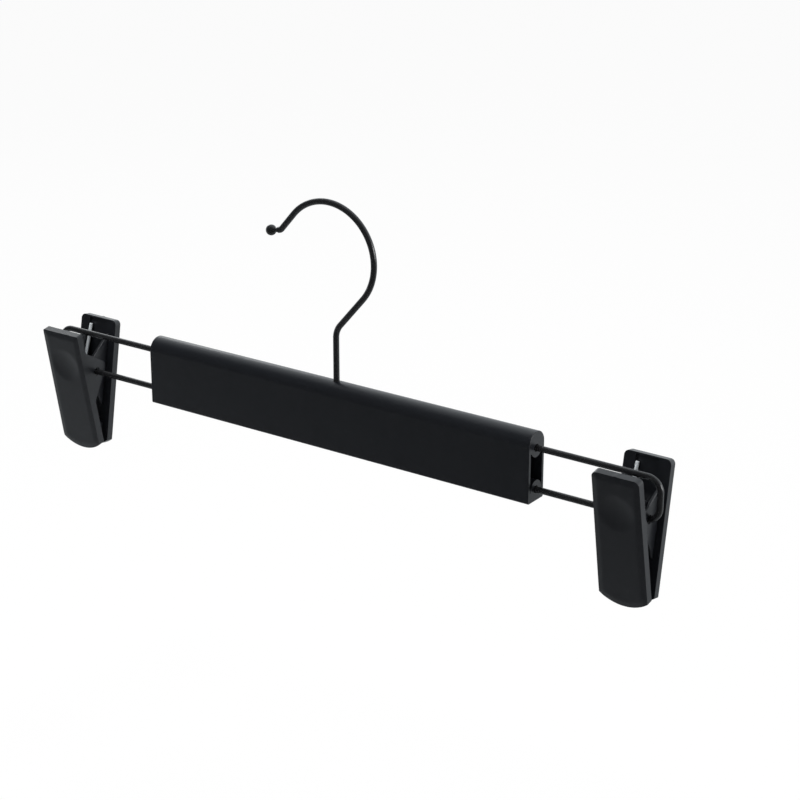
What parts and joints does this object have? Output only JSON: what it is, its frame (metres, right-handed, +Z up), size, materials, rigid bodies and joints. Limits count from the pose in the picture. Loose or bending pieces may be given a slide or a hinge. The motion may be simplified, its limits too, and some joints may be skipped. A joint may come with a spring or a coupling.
{
  "type": "skirt hanger",
  "caption": "Black skirt and trouser hanger: moulded bar, swivel wire hook with a ball tip, and a sprung clip sliding on a wire rod at each end.",
  "frame": {"origin": "where the top of the hook rests on a rail, on the upright line that the hook turns about", "axes": "+X along the bar to the right end, +Y to the back, +Z up"},
  "size_m": [0.3577, 0.0332, 0.1603],
  "materials": {
    "bar_plastic": "satin black",
    "jaw_plastic": "satin black",
    "black_wire": "semi-gloss black coating on steel wire",
    "spring_zinc": "bright zinc",
    "nut_steel": "plain spring steel"
  },
  "bodies": {
    "hook": {"hook": "black_wire", "hook_push_nut": "nut_steel"},
    "bar": {"bar": "bar_plastic", "left_rod": "black_wire", "right_rod": "black_wire"},
    "left_clip": {"left_spring": "spring_zinc"},
    "left_front_jaw": {"left_front_jaw": "jaw_plastic"},
    "left_back_jaw": {"left_back_jaw": "jaw_plastic"},
    "right_clip": {"right_spring": "spring_zinc"},
    "right_front_jaw": {"right_front_jaw": "jaw_plastic"},
    "right_back_jaw": {"right_back_jaw": "jaw_plastic"}
  },
  "joints": [
    {"name": "hook_swivel", "type": "hinge", "parent": "hook", "child": "bar", "pos_m": [0, 0, -0.0857], "axis": [0, 0, 1], "continuous": true},
    {"name": "left_clip_slide", "type": "slide", "parent": "bar", "child": "left_clip", "axis": [1, 0, 0], "range_m": [0, 0.0393]},
    {"name": "left_front_jaw_hinge", "type": "hinge", "parent": "left_clip", "child": "left_front_jaw", "pos_m": [-0.1647, 0, -0.11401], "axis": [-1, 0, 0], "range_deg": [0, 24], "stiffness_Nm_per_rad": 0.15, "springref_deg": -40.11, "deforming": ["left_spring"]},
    {"name": "left_back_jaw_hinge", "type": "hinge", "parent": "left_clip", "child": "left_back_jaw", "pos_m": [-0.1647, 0, -0.11401], "axis": [1, 0, 0], "range_deg": [0, 24], "stiffness_Nm_per_rad": 0.15, "springref_deg": -40.11, "deforming": ["left_spring"]},
    {"name": "right_clip_slide", "type": "slide", "parent": "bar", "child": "right_clip", "axis": [-1, 0, 0], "range_m": [0, 0.037]},
    {"name": "right_front_jaw_hinge", "type": "hinge", "parent": "right_clip", "child": "right_front_jaw", "pos_m": [0.1624, 0, -0.11401], "axis": [-1, 0, 0], "range_deg": [0, 24], "stiffness_Nm_per_rad": 0.15, "springref_deg": -40.11, "deforming": ["right_spring"]},
    {"name": "right_back_jaw_hinge", "type": "hinge", "parent": "right_clip", "child": "right_back_jaw", "pos_m": [0.1624, 0, -0.11401], "axis": [1, 0, 0], "range_deg": [0, 24], "stiffness_Nm_per_rad": 0.15, "springref_deg": -40.11, "deforming": ["right_spring"]}
  ],
  "couplings": [
    {"joint": "left_back_jaw_hinge", "follows": "left_front_jaw_hinge", "ratio": 1},
    {"joint": "right_back_jaw_hinge", "follows": "right_front_jaw_hinge", "ratio": 1}
  ]
}
